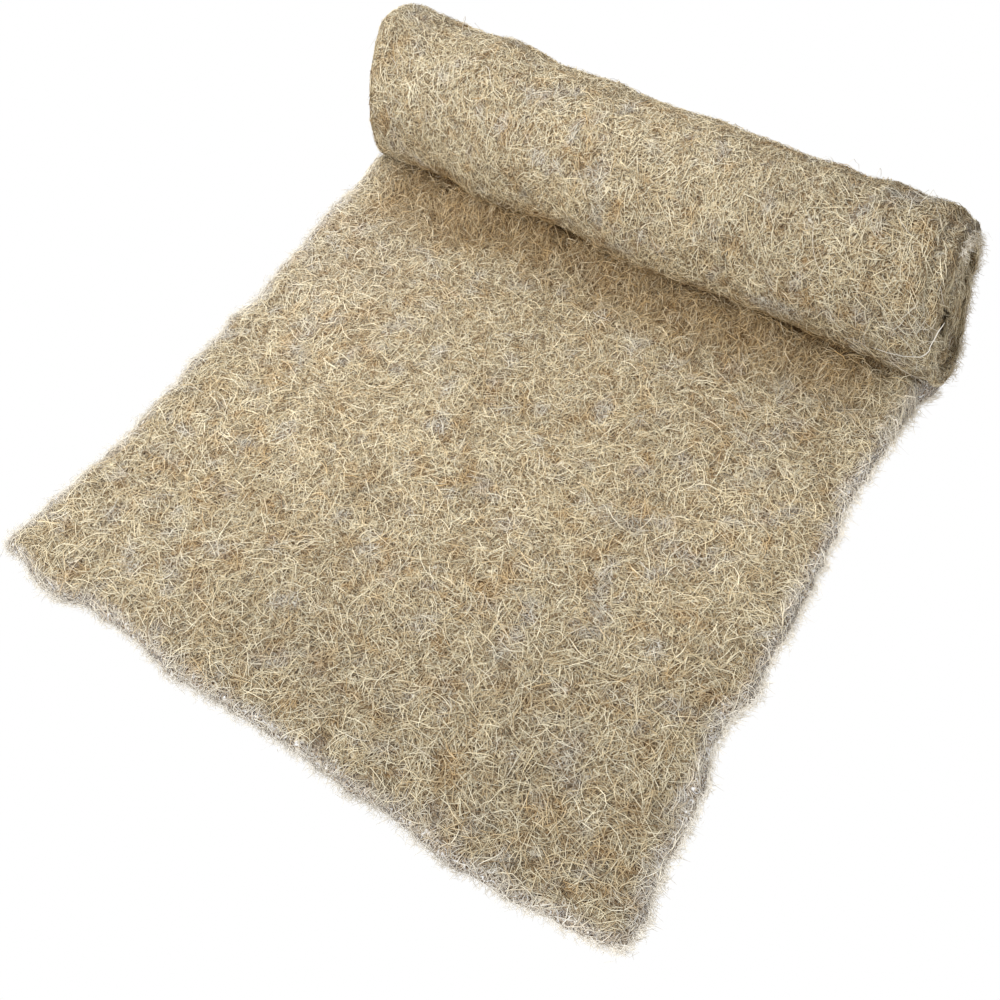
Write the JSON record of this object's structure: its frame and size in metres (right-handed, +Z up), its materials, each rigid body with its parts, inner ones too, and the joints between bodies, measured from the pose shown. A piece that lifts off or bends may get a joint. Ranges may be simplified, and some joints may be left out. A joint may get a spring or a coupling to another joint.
{
  "type": "roll of erosion control blanket",
  "caption": "Needled natural-fibre mat, partly unrolled: a flat apron in front of a wound roll that lies on the floor.",
  "frame": {"origin": "middle of the bounding box at floor level", "axes": "+Z up, +X across the mat along the roll's axis, +Y from the apron's front edge back towards the roll"},
  "size_m": [0.5168, 0.567, 0.13],
  "materials": {
    "fibre_mat": "needled tangle of tan plant fibre, matt and fuzzy"
  },
  "bodies": {
    "root": {"blanket": "fibre_mat"}
  },
  "joints": []
}
